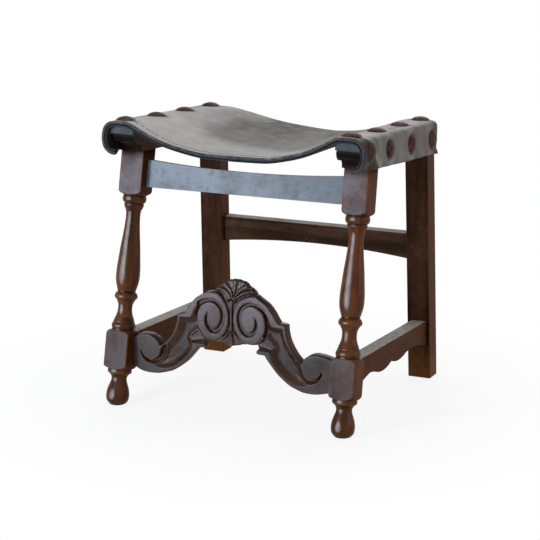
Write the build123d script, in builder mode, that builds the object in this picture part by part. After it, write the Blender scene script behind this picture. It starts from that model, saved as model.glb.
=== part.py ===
from build123d import *
import os
from math import atan2, cos, degrees, radians, sin, sqrt, tan

os.makedirs("parts", exist_ok=True)

# Camel saddle stool, millimetres, +Z up, the front faces -Y.
# The origin is on the floor, in the middle of the stool's width and depth.

# Overall frame: where the leg axes meet the floor, and how the legs lean
front_half_width = 195.5
rear_half_width = 193.3
leg_span = 361.0
front_rake = 10.6
rear_rake = 3.6
front_splay = 0.71
rear_splay = 0.75
joint_clearance = 0.2
cut_overrun = 5.0

# Front legs: turned, with two square blocks, measured along the leg's own axis
block_size = 40.0
block_edge = 1.4
shoulder_rise = 9.0
foot_height = 57.0
lower_block_height = 62.5
upper_block_height = 75.3
foot_ball_radius = 18.5
belly_radius = 19.0
turning_sides = 20

# Rear legs: plain posts
post_width = 39.1
post_depth = 33.3
post_edge = 1.4

# Side top rails: they stand on the legs and slope down to the back
rail_width = 41.0
rail_height = 41.5
rail_slope = 2.5
rail_top_front = 446.3
rail_overhang = 35.0
rail_edge_radius = 5.0
leg_tenon_size = 20.0
leg_tenon_height = 20.0

# Front apron, in the raked plane of the front legs
apron_setback = 16.7
apron_thickness = 20.0
apron_drop = 61.8
apron_depth = 46.2
apron_dip = 9.6
apron_tenon_thickness = 9.0
apron_tenon_height = 33.0
apron_tenon_length = 20.0

# Rear rail, in the raked plane of the rear legs
rear_rail_setback = 10.2
rear_rail_thickness = 21.0
rear_rail_bottom = 201.0
rear_rail_depth = 46.5
rear_rail_arch = 13.5
rear_tenon_thickness = 9.0
rear_tenon_height = 32.0
rear_tenon_length = 22.0

# Side stretchers
side_set_in = 15.5
side_thickness = 26.0
side_top_height = 112.0
side_slope = 1.9
side_depth = 43.9
side_tenon_thickness = 9.0
side_tenon_height = 26.0
side_tenon_length = 22.0
side_tenon_inset = 3.0
side_edge = 1.5

# Carved front stretcher: upright, between the lower blocks
carving_setback = 18.0
carving_thickness = 18.0
carving_bottom = 53.2
carving_height = 166.8
carving_tenon_thickness = 9.0
carving_tenon_height = 30.0
carving_tenon_length = 12.0
channel_radius = 16.0
channel_depth = 7.5
hook_width = 5.0
hook_depth = 5.0
spiral_width = 5.0
spiral_depth = 5.0
vein_width = 2.5
vein_depth = 2.5
shell_setback = 2.5
shell_lean = 10.0

# Leather seat: two layers, slung between the rails and folded over them
leather_thickness = 3.3
lining_thickness = 2.6
layer_gap = 0.3
seat_overhang = 9.0
seat_length = 336.0
front_flap_drop = 41.0
rear_flap_drop = 47.0
front_sag = 42.5
rear_sag = 26.0
front_edge_bow = 21.0
bend_set_in = 5.0
outer_bend_radius = 9.0

# Nails: large domed heads on square shanks
nail_head_radius = 15.4
nail_head_height = 6.0
nail_shank_width = 4.0
nail_shank_length = 22.0
nail_clearance = 0.1
nail_head_shares = [(1.0, 0.0), (0.93, 0.3), (0.6, 0.78), (0.2, 1.0)]

# Places of the nails: shares of a rail's length, and down the side of its height too
top_nail_shares = [0.041, 0.348, 0.645, 0.934]
side_nail_shares = [(0.062, 0.35), (0.317, 0.44), (0.6035, 0.49), (0.892, 0.54)]

# Turned outlines of the front legs: shares of the height and of the largest radius, from below
foot_shares = [
    (0.0, 0.60), (0.07, 0.87), (0.246, 1.0), (0.42, 0.925), (0.60, 0.73), (0.737, 0.665),
    (0.85, 0.87), (0.90, 1.04), (0.998, 1.02),
]
column_shares = [
    (0.007, 0.958), (0.03, 1.02), (0.055, 0.92), (0.088, 0.77), (0.122, 0.642), (0.164, 0.595),
    (0.205, 0.66), (0.228, 0.86), (0.252, 0.95), (0.283, 0.753), (0.335, 0.92), (0.40, 1.0),
    (0.50, 0.95), (0.63, 0.80), (0.77, 0.65), (0.859, 0.595), (0.908, 0.789), (0.924, 0.84),
    (0.939, 0.81), (0.955, 0.97), (0.978, 0.99), (0.993, 0.947),
]
shoulder_middle_shares = (0.25, 0.68)

# Moulded front end of a top rail: shares of the overhang back, and of the rail's height down
cap_height_share = 0.30
quirk_height_share = 0.046
quirk_depth_share = 0.19
ovolo_shares = ((0.13, 0.42), (0.245, 0.615), (0.457, 0.694))
cove_shares = ((0.53, 0.694), (0.75, 0.760), (0.814, 0.889))

# Scalloped underside of a side stretcher: shares of its length and depth, as arcs
scallop_arc_shares = [
    ((0.0, 1.0), (0.070, 0.830), (0.165, 0.697)),
    ((0.165, 0.697), (0.214, 0.740), (0.266, 0.832)),
    ((0.266, 0.832), (0.368, 0.903), (0.470, 0.736)),
    ((0.470, 0.736), (0.579, 0.878), (0.671, 0.786)),
    ((0.671, 0.786), (0.724, 0.726), (0.776, 0.703)),
    ((0.776, 0.703), (0.900, 0.805), (1.0, 1.0)),
]

# Outline of the carved stretcher's right half, as arcs: shares of its half span and height
carving_over_shares = [
    ((0.017, 0.784), (0.091, 0.85), (0.206, 0.859)),
    ((0.206, 0.859), (0.32, 0.81), (0.4, 0.724)),
    ((0.4, 0.724), (0.433, 0.676), (0.46, 0.628)),
    ((0.52, 0.621), (0.529, 0.614), (0.531, 0.598)),
    ((0.531, 0.598), (0.557, 0.466), (0.629, 0.344)),
    ((0.629, 0.344), (0.663, 0.308), (0.703, 0.281)),
    ((0.711, 0.305), (0.771, 0.359), (0.857, 0.376)),
    ((0.857, 0.376), (0.93, 0.368), (1.0, 0.34)),
]
carving_under_shares = [
    ((1.0, 0.055), (0.903, 0.016), (0.8, 0.0)),
    ((0.8, 0.0), (0.674, 0.014), (0.554, 0.066)),
    ((0.554, 0.066), (0.446, 0.159), (0.349, 0.281)),
    ((0.329, 0.311), (0.297, 0.316), (0.269, 0.314)),
    ((0.269, 0.314), (0.251, 0.347), (0.263, 0.394)),
    ((0.257, 0.403), (0.171, 0.396), (0.08, 0.375)),
    ((0.08, 0.375), (0.04, 0.366), (0.0, 0.362)),
]
shell_over_shares = [
    ((0.0, 1.0), (0.029, 0.998), (0.051, 0.986)),
    ((0.051, 0.986), (0.1, 0.978), (0.126, 0.94)),
    ((0.126, 0.94), (0.171, 0.918), (0.209, 0.868)),
]
shell_foot_shares = (0.15, 0.745)
shell_centre_share = 0.81
shell_rib_shares = [(0.059, 1.013), (0.145, 0.96)]
stem_shares = [(0.026, 0.45), (0.026, 0.79)]
cove_line_shares = ((0.385, 0.655), (0.475, 0.385), (0.685, 0.125))
hook_shares = [
    ((0.66, 0.145), (0.77, 0.085), (0.875, 0.145)),
    ((0.875, 0.145), (0.905, 0.183), (0.92, 0.235)),
]
spiral_shares = [
    ((0.365, 0.70), (0.290, 0.765), (0.205, 0.782)),
    ((0.205, 0.782), (0.085, 0.655), (0.165, 0.480)),
    ((0.165, 0.480), (0.240, 0.520), (0.236, 0.655)),
]

# Sag of the seat: shares of the half width between the rails and of the sag, from a rail to the middle
sag_shares = [(1.0, 0.02), (0.88, 0.27), (0.74, 0.535), (0.53, 0.79), (0.27, 0.965), (0.0, 1.0)]

# Worked-out places
front_lean = radians(front_rake)
foot_reach = max(
    r * foot_ball_radius * cos(front_lean) - h * foot_height * sin(front_lean) for h, r in foot_shares
)
rear_reach = post_depth / 2 / cos(radians(rear_rake))
front_y = -(leg_span + rear_reach - foot_reach) / 2
rear_y = front_y + leg_span
leg_top_height = rail_top_front - rail_height
leg_shoulder = leg_top_height / cos(front_lean)
lower_block_top = foot_height + lower_block_height
lower_block_middle = foot_height + lower_block_height / 2
upper_block_bottom = leg_shoulder - upper_block_height
column_height = upper_block_bottom - lower_block_top
apron_bottom = leg_shoulder - apron_drop
rail_half_gap = front_half_width - leg_top_height * tan(radians(front_splay)) - rail_width / 2
side_inner_half = front_half_width - side_set_in
rail_front_y = front_y + leg_top_height * tan(front_lean) - block_size / 2 / cos(front_lean) - rail_overhang
rail_back_y = rear_y - leg_top_height * tan(radians(rear_rake)) + rear_reach
rail_length = (rail_back_y - rail_front_y) / cos(radians(rail_slope))


def post_plane(half_width, y, splay, rake):
    """Plane at a right leg's foot, with its z along the leg."""
    out = tan(radians(splay))
    back = tan(radians(rake))
    return Plane(origin=(half_width, y, 0), x_dir=(1, 0, out), z_dir=(-out, back, 1))


def frame_plane(y, rake):
    """Upright plane across the stool through two leg axes, seen from the front."""
    lean = radians(rake)
    return Plane(origin=(0, y, 0), x_dir=(1, 0, 0), z_dir=(0, -cos(lean), sin(lean)))


def side_plane(half_width, y, height, slope):
    """Plane on a right-hand rail's inner side: local x runs back along it, local y up."""
    fall = radians(slope)
    return Plane(origin=(half_width, y, height), x_dir=(0, cos(fall), -sin(fall)), z_dir=(1, 0, 0))


front_post = post_plane(front_half_width, front_y, front_splay, front_rake)
rear_post = post_plane(rear_half_width, rear_y, rear_splay, -rear_rake)
front_frame = frame_plane(front_y, front_rake)
rear_frame = frame_plane(rear_y, -rear_rake)
rail_side = side_plane(rail_half_gap, rail_front_y, rail_top_front, rail_slope)
rail_top = Plane(origin=(0, rail_front_y, rail_top_front), x_dir=(1, 0, 0), z_dir=rail_side.y_dir)
rail_underside = rail_top.offset(-rail_height)
side_face = side_plane(side_inner_half, front_y, side_top_height, side_slope)
carving_face = Plane(origin=(0, front_y + carving_setback, 0), x_dir=(1, 0, 0), z_dir=(0, -1, 0))


def face_of(post, direction, half_size):
    """Plane on one side of a leg, facing away from it."""
    helper = post.z_dir
    return Plane(origin=post.origin + direction * half_size, x_dir=helper, z_dir=direction)


front_inner = face_of(front_post, -front_post.x_dir, block_size / 2)
front_back = face_of(front_post, front_post.y_dir, block_size / 2)
rear_inner = face_of(rear_post, -rear_post.x_dir, post_width / 2)
rear_front = face_of(rear_post, -rear_post.y_dir, post_depth / 2)


def mirrored(plane):
    """The same plane on the left side of the stool."""
    spot = plane.origin
    along = plane.x_dir
    out = plane.z_dir
    return Plane(
        origin=(-spot.X, spot.Y, spot.Z), x_dir=(-along.X, along.Y, along.Z), z_dir=(-out.X, out.Y, out.Z),
    )


def crossing(post, plane):
    """Where a leg's axis meets a plane, in that plane's own x and y."""
    reach = (plane.origin - post.origin).dot(plane.z_dir) / post.z_dir.dot(plane.z_dir)
    spot = plane.to_local_coords(post.origin + post.z_dir * reach)
    return (spot.X, spot.Y)


def inner_half(post, half_size, height):
    """Half the clear width between two opposite legs at a height up the leg."""
    return post.origin.X + post.z_dir.X * height - half_size * post.x_dir.X


def save(piece, name):
    """Label a finished piece and write its file."""
    piece.part.label = name
    export_step(piece.part, f"parts/{name}.step")


def save_pair(piece, name):
    """Write a right-hand piece and its mirror image."""
    save(piece, f"right_{name}")
    with BuildPart() as twin:
        mirror(piece.part, about=Plane.YZ)
    save(twin, f"left_{name}")


def draw_arcs(arc_shares, start, span, rise, last=None):
    """Draw arcs given in shares of two sizes, joined by straight steps, and return the end."""
    for arc in arc_shares:
        points = [
            (start[0] + a * span[0] + b * rise[0], start[1] + a * span[1] + b * rise[1]) for a, b in arc
        ]
        if last is not None and points[0] != last:
            Line(last, points[0])
        ThreePointArc(*points)
        last = points[2]
    return last


def end_tenons(plane, post, half_size, height, middle, length, thickness, extra, mode):
    """Tenons at both ends of a rail between two legs, or with extra clearance their mortises."""
    shoulder_half = inner_half(post, half_size, middle)
    with BuildSketch(plane) as section:
        with Locations((-shoulder_half, middle), (shoulder_half, middle)):
            Rectangle(2 * (length + extra), height + 2 * extra)
    extrude(section.sketch, amount=thickness / 2 + extra, both=True, mode=mode)


carving_half_span = inner_half(front_post, block_size / 2, 0)
apron_middle = apron_bottom + (apron_depth - apron_dip) / 2
apron_plane = front_frame.offset(block_size / 2 - apron_setback)
rear_rail_top = rear_rail_bottom + rear_rail_depth
rear_rail_middle = rear_rail_top - (rear_rail_depth - rear_rail_arch) / 2
rear_rail_plane = rear_frame.offset(post_depth / 2 - rear_rail_setback)
side_tenon_core = side_face.offset(side_thickness / 2 + side_tenon_inset)


def apron_tenons(extra, mode):
    """Both tenons of the front apron, or with extra clearance their mortises."""
    core = apron_plane.offset(-apron_thickness / 2)
    end_tenons(core, front_post, block_size / 2, apron_tenon_height, apron_middle,
               apron_tenon_length, apron_tenon_thickness, extra, mode)


def rear_tenons(extra, mode):
    """Both tenons of the rear rail, or with extra clearance their mortises."""
    core = rear_rail_plane.offset(-rear_rail_thickness / 2)
    end_tenons(core, rear_post, post_width / 2, rear_tenon_height, rear_rail_middle,
               rear_tenon_length, rear_tenon_thickness, extra, mode)


def carving_tenons(extra, mode):
    """Both tenons of the carved stretcher, or with extra clearance their mortises."""
    core = carving_face.offset(-carving_thickness / 2)
    end_tenons(core, front_post, block_size / 2, carving_tenon_height, lower_block_middle,
               carving_tenon_length, carving_tenon_thickness, extra, mode)


def face_crossing(face):
    """How far along a side stretcher a leg's face lies, at the stretcher's mid depth."""
    start = side_tenon_core.origin - side_tenon_core.y_dir * side_depth / 2
    return (face.origin - start).dot(face.z_dir) / side_tenon_core.x_dir.dot(face.z_dir)


def side_tenon(face, extra, mode):
    """Tenon of a side stretcher past a leg's face, or with extra clearance its mortise."""
    with BuildSketch(side_tenon_core) as section:
        with Locations((face_crossing(face), -side_depth / 2)):
            Rectangle(2 * (side_tenon_length + extra), side_tenon_height + 2 * extra)
    extrude(section.sketch, amount=side_tenon_thickness / 2 + extra, both=True, mode=mode)


side_start = face_crossing(front_back)
side_end = face_crossing(rear_front)

# Where the leather's outside lies on a rail, and the nails on it
leather_stack = lining_thickness + leather_thickness + 3 * layer_gap
seat_top = rail_top.offset(leather_stack)
bend_half = rail_half_gap + bend_set_in
flap_face = rail_side.offset(rail_width + leather_stack)
top_nail_places = [(rail_half_gap + rail_width / 2, share * rail_length) for share in top_nail_shares]
side_nail_places = [(share * rail_length, -down * rail_height) for share, down in side_nail_shares]


def block_sides(height, length):
    """Square the turned blank over one block."""
    with BuildSketch(front_post.offset(height)) as waste:
        Rectangle(2 * block_size, 2 * block_size)
        RectangleRounded(block_size, block_size, block_edge, mode=Mode.SUBTRACT)
    extrude(waste.sketch, amount=length, mode=Mode.SUBTRACT)


def shoulder(height, rise):
    """Outline points of the turned shoulder where a block begins or ends."""
    reach = block_size * sqrt(2) / 2
    up, out = shoulder_middle_shares
    middle = belly_radius + out * (reach - belly_radius)
    return [(belly_radius, height), (middle, height + up * rise), (reach, height + rise)]


def leg_top_tenon(post, extra, mode):
    """Square stub tenon on a leg's top, or with extra clearance its mortise in the rail."""
    with BuildSketch(rail_underside) as section:
        with Locations(crossing(post, rail_underside)):
            Rectangle(leg_tenon_size + 2 * extra, leg_tenon_size + 2 * extra)
    extrude(section.sketch, amount=leg_tenon_height + extra, mode=mode)


# Front legs: a many-sided blank through the turned outline, squared over its two blocks
leg_length = leg_shoulder + leg_tenon_height
foot = [(r * foot_ball_radius, h * foot_height) for h, r in foot_shares]
column = [(r * belly_radius, lower_block_top + h * column_height) for h, r in column_shares]
upper_shoulder = shoulder(upper_block_bottom, shoulder_rise)
turned_outline = [
    (foot[0][0], -cut_overrun), *foot, *shoulder(foot_height, shoulder_rise),
    *reversed(shoulder(lower_block_top, -shoulder_rise)), *column, *upper_shoulder,
    (upper_shoulder[-1][0], leg_length),
]
with BuildPart() as front_leg:
    for radius, height in turned_outline:
        with BuildSketch(front_post.offset(height)):
            RegularPolygon(radius, turning_sides, major_radius=False)
    loft(ruled=True)
    block_sides(foot_height, lower_block_height)
    block_sides(upper_block_bottom, leg_length)
    split(bisect_by=Plane.XY, keep=Keep.TOP)
    split(bisect_by=rail_underside, keep=Keep.BOTTOM)
    leg_top_tenon(front_post, 0, Mode.ADD)
    apron_tenons(joint_clearance, Mode.SUBTRACT)
    carving_tenons(joint_clearance, Mode.SUBTRACT)
    side_tenon(front_back, joint_clearance, Mode.SUBTRACT)
save_pair(front_leg, "front_leg")

# Rear legs
with BuildPart() as rear_leg:
    with BuildSketch(rear_post.offset(-cut_overrun)):
        RectangleRounded(post_width, post_depth, post_edge)
    extrude(amount=rail_top_front + cut_overrun)
    split(bisect_by=Plane.XY, keep=Keep.TOP)
    split(bisect_by=rail_underside, keep=Keep.BOTTOM)
    leg_top_tenon(rear_post, 0, Mode.ADD)
    rear_tenons(joint_clearance, Mode.SUBTRACT)
    side_tenon(rear_front, joint_clearance, Mode.SUBTRACT)
save_pair(rear_leg, "rear_leg")

# Nail holes of the right-hand side, through the leather and into the rail
with BuildPart() as nail_holes:
    for plane, places in ((seat_top, top_nail_places), (flap_face, side_nail_places)):
        with BuildSketch(plane):
            with Locations(*places):
                Rectangle(nail_shank_width + 2 * nail_clearance, nail_shank_width + 2 * nail_clearance)
        extrude(amount=-(nail_shank_length + nail_clearance))

# Side top rails, moulded under the front end
with BuildPart() as top_rail:
    with BuildSketch(rail_side):
        with BuildLine():
            cap = cap_height_share * rail_height
            quirk = cap + quirk_height_share * rail_height
            pitch = (rail_overhang, 0)
            drop = (0, -rail_height)
            face = ovolo_shares[0][0] * rail_overhang
            inmost = quirk_depth_share * rail_overhang
            Polyline((0, 0), (0, -cap), (inmost, -cap), (inmost, -quirk), (face, -quirk))
            last = draw_arcs([ovolo_shares], (0, 0), pitch, drop, (face, -quirk))
            last = draw_arcs([cove_shares], (0, 0), pitch, drop, last)
            Polyline(last, (last[0], -rail_height), (rail_length, -rail_height), (rail_length, 0), (0, 0))
        make_face()
    extrude(amount=rail_width)
    top_face = top_rail.faces().sort_by(Axis(rail_side.origin, rail_side.y_dir))[-1]
    fillet(top_face.edges().filter_by(Axis(rail_side.origin, rail_side.x_dir)), radius=rail_edge_radius)
    leg_top_tenon(front_post, joint_clearance, Mode.SUBTRACT)
    leg_top_tenon(rear_post, joint_clearance, Mode.SUBTRACT)
    add(nail_holes.part, mode=Mode.SUBTRACT)
save_pair(top_rail, "top_rail")

# Front apron, dipping in the middle of its top edge
apron_top = apron_bottom + apron_depth
with BuildPart() as front_apron:
    with BuildSketch(apron_plane):
        with BuildLine():
            Polyline(
                (-front_half_width, apron_top), (-front_half_width, apron_bottom),
                (front_half_width, apron_bottom), (front_half_width, apron_top),
            )
            ThreePointArc(
                (front_half_width, apron_top), (0, apron_top - apron_dip), (-front_half_width, apron_top),
            )
        make_face()
    extrude(amount=-apron_thickness)
    split(bisect_by=front_inner, keep=Keep.TOP)
    split(bisect_by=mirrored(front_inner), keep=Keep.TOP)
    apron_tenons(0, Mode.ADD)
save(front_apron, "front_apron")

# Rear rail, arched along its bottom edge
with BuildPart() as rear_rail:
    with BuildSketch(rear_rail_plane):
        with BuildLine():
            Polyline(
                (rear_half_width, rear_rail_bottom), (rear_half_width, rear_rail_top),
                (-rear_half_width, rear_rail_top), (-rear_half_width, rear_rail_bottom),
            )
            ThreePointArc(
                (-rear_half_width, rear_rail_bottom), (0, rear_rail_bottom + rear_rail_arch),
                (rear_half_width, rear_rail_bottom),
            )
        make_face()
    extrude(amount=-rear_rail_thickness)
    split(bisect_by=rear_inner, keep=Keep.TOP)
    split(bisect_by=mirrored(rear_inner), keep=Keep.TOP)
    rear_tenons(0, Mode.ADD)
save(rear_rail, "rear_rail")

# Side stretchers, scalloped underneath
with BuildPart() as side_stretcher:
    with BuildSketch(side_face):
        with BuildLine():
            run = (side_end - side_start, 0)
            drop = (0, -side_depth)
            left = side_start - block_size / 2
            right = side_end + block_size / 2
            Polyline(
                (side_start, -side_depth), (left, -side_depth), (left, 0), (right, 0), (right, -side_depth),
            )
            draw_arcs(scallop_arc_shares, (side_start, 0), run, drop)
            Line((right, -side_depth), (side_end, -side_depth))
        make_face()
    extrude(amount=side_thickness)
    top_face = side_stretcher.faces().sort_by(Axis(side_face.origin, side_face.y_dir))[-1]
    fillet(top_face.edges().filter_by(Axis(side_face.origin, side_face.x_dir)), radius=side_edge)
    split(bisect_by=front_back, keep=Keep.TOP)
    split(bisect_by=rear_front, keep=Keep.TOP)
    side_tenon(front_back, 0, Mode.ADD)
    side_tenon(rear_front, 0, Mode.ADD)
save_pair(side_stretcher, "side_stretcher")


def on_carving(shares):
    """A point of the carved stretcher's face from its shares."""
    return (shares[0] * carving_half_span, carving_bottom + shares[1] * carving_height)


def vein(face, start, end, width, depth):
    """Straight V-shaped cut in a carved face, as a separate cutter."""
    root = face.from_local_coords((*start, 0))
    tip = face.from_local_coords((*end, 0))
    with BuildPart() as cutter:
        with BuildSketch(Plane(origin=root, x_dir=face.z_dir, z_dir=tip - root)):
            with BuildLine():
                Polyline((depth, width), (-depth, 0), (depth, -width), (depth, width))
            make_face()
        extrude(amount=(tip - root).length)
    return cutter.part


def groove(arc_shares, width, depth):
    """Flat-bottomed groove of even width along arcs on the carved face, as a separate cutter."""
    with BuildPart() as cutter:
        with BuildSketch(carving_face):
            with BuildLine():
                for arc in arc_shares:
                    ThreePointArc(*[on_carving(point) for point in arc])
            trace(line_width=width)
        extrude(amount=-depth)
    return cutter.part


# Hollows of the carving's right half: the cove with its round upper end, spiral, hook and stem side
cove_centres = carving_face.offset(channel_radius - channel_depth)
cove_points = [cove_centres.from_local_coords((*on_carving(point), 0)) for point in cove_line_shares]
cove_arc = Edge.make_three_point_arc(*cove_points)
with BuildPart() as cove:
    with BuildSketch(Plane(origin=cove_arc @ 0, z_dir=cove_arc % 0)):
        Circle(channel_radius)
    sweep(path=cove_arc)
    with Locations(cove_arc @ 0):
        Sphere(channel_radius)
spiral = groove(spiral_shares, spiral_width, spiral_depth)
hook = groove(hook_shares, hook_width, hook_depth)
stem = vein(carving_face, on_carving(stem_shares[0]), on_carving(stem_shares[1]), vein_width, vein_depth)

# Shell above the scrolls: its face leans back from the scrolls' crossing
shell_tilt = radians(shell_lean)
shell_centre = carving_bottom + shell_centre_share * carving_height
shell_face = Plane(
    origin=(0, front_y + carving_setback + shell_setback, shell_centre),
    x_dir=(1, 0, 0), z_dir=(0, -cos(shell_tilt), sin(shell_tilt)),
)
rib_ends = [(x, z - shell_centre) for x, z in map(on_carving, shell_rib_shares)]
ribs = [vein(shell_face, (0, 0), end, vein_width, vein_depth) for end in rib_ends]

# Carved front stretcher: two scrolls with a stem between them, a shell above and an eye at each end
with BuildPart() as front_stretcher:
    with BuildSketch(carving_face):
        with BuildLine():
            base = (0, carving_bottom)
            span = (carving_half_span, 0)
            rise = (0, carving_height)
            first = on_carving(carving_over_shares[0][0])
            last = draw_arcs(carving_over_shares, base, span, rise)
            last = draw_arcs(carving_under_shares, base, span, rise, last)
            Polyline(last, (0, first[1]), first)
        make_face()
        mirror(about=Plane.YZ)
    extrude(amount=-carving_thickness)
    with BuildSketch(shell_face):
        with BuildLine():
            base = (0, -shell_centre_share * carving_height)
            last = draw_arcs(shell_over_shares, base, span, rise)
            foot_x = shell_foot_shares[0] * carving_half_span
            foot_y = (shell_foot_shares[1] - shell_centre_share) * carving_height
            crown_y = (1 - shell_centre_share) * carving_height
            Polyline(last, (foot_x, foot_y), (0, foot_y), (0, crown_y))
        make_face()
        mirror(about=Plane.YZ)
    extrude(amount=-carving_thickness)
    split(bisect_by=carving_face.offset(-carving_thickness), keep=Keep.TOP)
    for hollow in (cove.part, spiral, hook, stem, *ribs):
        add(hollow, mode=Mode.SUBTRACT)
        add(mirror(hollow, about=Plane.YZ, mode=Mode.PRIVATE), mode=Mode.SUBTRACT)
    split(bisect_by=front_inner, keep=Keep.TOP)
    split(bisect_by=mirrored(front_inner), keep=Keep.TOP)
    carving_tenons(0, Mode.ADD)
save(front_stretcher, "front_stretcher")


def seat_section(run, sag, drop, inset, thickness):
    """Cross-section of one layer at a distance along the rails, inset from the nail heads' seat."""
    outer = rail_half_gap + rail_width + leather_stack - inset
    crest = leather_stack - inset
    foot = rail_top.origin + rail_top.y_dir * run
    with BuildSketch(Plane(origin=foot, x_dir=(1, 0, 0), z_dir=-rail_top.y_dir)) as section:
        with BuildLine():
            ends = []
            for depth in (0, thickness):
                half = [(outer - depth, -drop), (outer - depth, crest - depth), (bend_half, crest - depth)]
                half += [(x * rail_half_gap, crest - depth - y * sag) for x, y in sag_shares]
                Polyline(*half, *[(-x, y) for x, y in reversed(half[:-1])])
                ends.append(half[0])
            Line(*ends)
            Line(*[(-x, y) for x, y in ends])
        make_face()
        for depth in (0, thickness):
            near = thickness / 2
            level = section.vertices().filter_by_position(Axis.Y, crest - depth - near, crest - depth + near)
            level = level.sort_by(Axis.X)
            fillet((level[0], level[-1]), radius=outer_bend_radius - inset - depth)
    return section.sketch


def seat_layer(inset, thickness):
    """One layer of the seat, from its front edge to its back edge, before the nail holes."""
    with BuildPart() as layer:
        front = seat_section(-seat_overhang, front_sag, front_flap_drop, inset, thickness)
        rear = seat_section(seat_length - seat_overhang, rear_sag, rear_flap_drop, inset, thickness)
        loft(sections=[front, rear], ruled=True)
        with BuildSketch(rail_top) as bow:
            with BuildLine():
                ends = ((-rail_half_gap, -seat_overhang), (rail_half_gap, -seat_overhang))
                ThreePointArc(ends[0], (0, front_edge_bow - seat_overhang), ends[1])
                Polyline(
                    ends[1], (rail_half_gap, -seat_overhang - cut_overrun),
                    (-rail_half_gap, -seat_overhang - cut_overrun), ends[0],
                )
            make_face()
        extrude(bow.sketch, amount=rail_top_front, both=True, mode=Mode.SUBTRACT)
        add(nail_holes.part, mode=Mode.SUBTRACT)
        add(mirror(nail_holes.part, about=Plane.YZ, mode=Mode.PRIVATE), mode=Mode.SUBTRACT)
    return layer


# Leather seat and its lining
save(seat_layer(layer_gap, leather_thickness), "seat_leather")
save(seat_layer(2 * layer_gap + leather_thickness, lining_thickness), "seat_lining")

# Nails: a domed head on a square shank, four along the top and four down the side of each rail
with BuildPart() as nail:
    for (reach, rise), (next_reach, next_rise) in zip(nail_head_shares, nail_head_shares[1:]):
        narrowing = (reach - next_reach) * nail_head_radius
        height = (next_rise - rise) * nail_head_height
        with BuildSketch(Plane.XY.offset(rise * nail_head_height)):
            RegularPolygon(reach * nail_head_radius, turning_sides, major_radius=False)
        extrude(amount=height, taper=degrees(atan2(narrowing, height)))
    with BuildSketch(Plane.XY):
        Rectangle(nail_shank_width, nail_shank_width)
    extrude(amount=-nail_shank_length)
with BuildPart(seat_top) as top_nails:
    with Locations(*top_nail_places):
        add(nail.part)
save_pair(top_nails, "top_nails")
with BuildPart(flap_face) as side_nails:
    with Locations(*side_nail_places):
        add(nail.part)
save_pair(side_nails, "side_nails")
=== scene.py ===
"""Looks of the camel saddle stool: turned and carved oak, a nailed leather seat, studio and camera."""
import math

import bmesh
import bpy
import numpy as np
from mathutils import Matrix, Vector, geometry


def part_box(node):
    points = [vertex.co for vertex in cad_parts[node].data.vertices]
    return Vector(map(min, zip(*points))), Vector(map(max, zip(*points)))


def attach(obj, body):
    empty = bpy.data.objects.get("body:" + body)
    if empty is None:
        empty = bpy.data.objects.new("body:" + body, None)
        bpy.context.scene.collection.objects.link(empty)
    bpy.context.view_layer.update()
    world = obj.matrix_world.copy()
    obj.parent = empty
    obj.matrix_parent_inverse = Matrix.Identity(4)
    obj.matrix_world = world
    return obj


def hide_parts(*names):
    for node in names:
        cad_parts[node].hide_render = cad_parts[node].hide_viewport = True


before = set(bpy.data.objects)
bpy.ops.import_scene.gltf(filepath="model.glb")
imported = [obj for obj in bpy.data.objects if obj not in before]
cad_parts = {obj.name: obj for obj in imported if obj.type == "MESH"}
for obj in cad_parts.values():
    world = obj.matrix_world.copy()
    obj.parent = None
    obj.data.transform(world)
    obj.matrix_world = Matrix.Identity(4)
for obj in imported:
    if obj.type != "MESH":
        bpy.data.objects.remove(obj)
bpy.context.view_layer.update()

# Sizes below are millimetres in the stool's own frame: X across, Z up from the floor,
# and Y back from the line where the front legs' axes meet the floor.
CARVING_FACE_Y = 18.0
FRONT_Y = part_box("front_stretcher")[0].y * 1000 - CARVING_FACE_Y

# Legs: where the axes meet the floor and how they lean, as in the CAD source
FRONT_HALF_WIDTH = 195.5
FRONT_SPLAY = math.tan(math.radians(0.71))
FRONT_RAKE = math.tan(math.radians(10.6))
LEG_AXIS = (-FRONT_SPLAY, FRONT_RAKE, 1.0)
BLOCK_HALF = 20.0
BLOCK_EDGE = 1.4

# Top rails, which slope down to the back
RAIL_TOP_FRONT = 446.3
RAIL_HEIGHT = 41.5
RAIL_SLOPE = math.radians(2.5)
RAIL_UP = np.array([0, math.sin(RAIL_SLOPE), math.cos(RAIL_SLOPE)])
RAIL_BACK = np.array([0, math.cos(RAIL_SLOPE), -math.sin(RAIL_SLOPE)])
RAIL_FRONT_Y = 20.4
RAIL_LENGTH = 332.1
RAIL_OUTER = 211.0

# Seat layers
LEATHER_THICKNESS = 3.3
LINING_THICKNESS = 2.2
LINING_GAP = 1.0
SEAT_STACK = 6.5
SEAT_FRONT_Y = 11.0
SEAT_DEPTH = 334.0
HEM_THICKNESS = 2.2

# Nails: how far back along the rail, and how far down its side, as shares of its length and height
TOP_NAIL_X = 190.5
TOP_NAILS = [(0.041, 0), (0.348, 0), (0.645, 0), (0.934, 0)]
SIDE_NAILS = [(0.062, 0.35), (0.317, 0.44), (0.6035, 0.49), (0.892, 0.54)]
NAIL_RADIUS = 15.4
NAIL_HEIGHT = 6.0

HANDS = (("right", 1), ("left", -1))
rng = np.random.default_rng(7)


# Geometry
def to_metres(points):
    """Metres in the shared frame from millimetres in the stool's own frame."""
    return (np.asarray(points, float) + (0.0, FRONT_Y, 0.0)) / 1000


def add_object(name, data):
    """A new object in the scene."""
    made = bpy.data.objects.new(name, data)
    bpy.context.scene.collection.objects.link(made)
    return made


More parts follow.
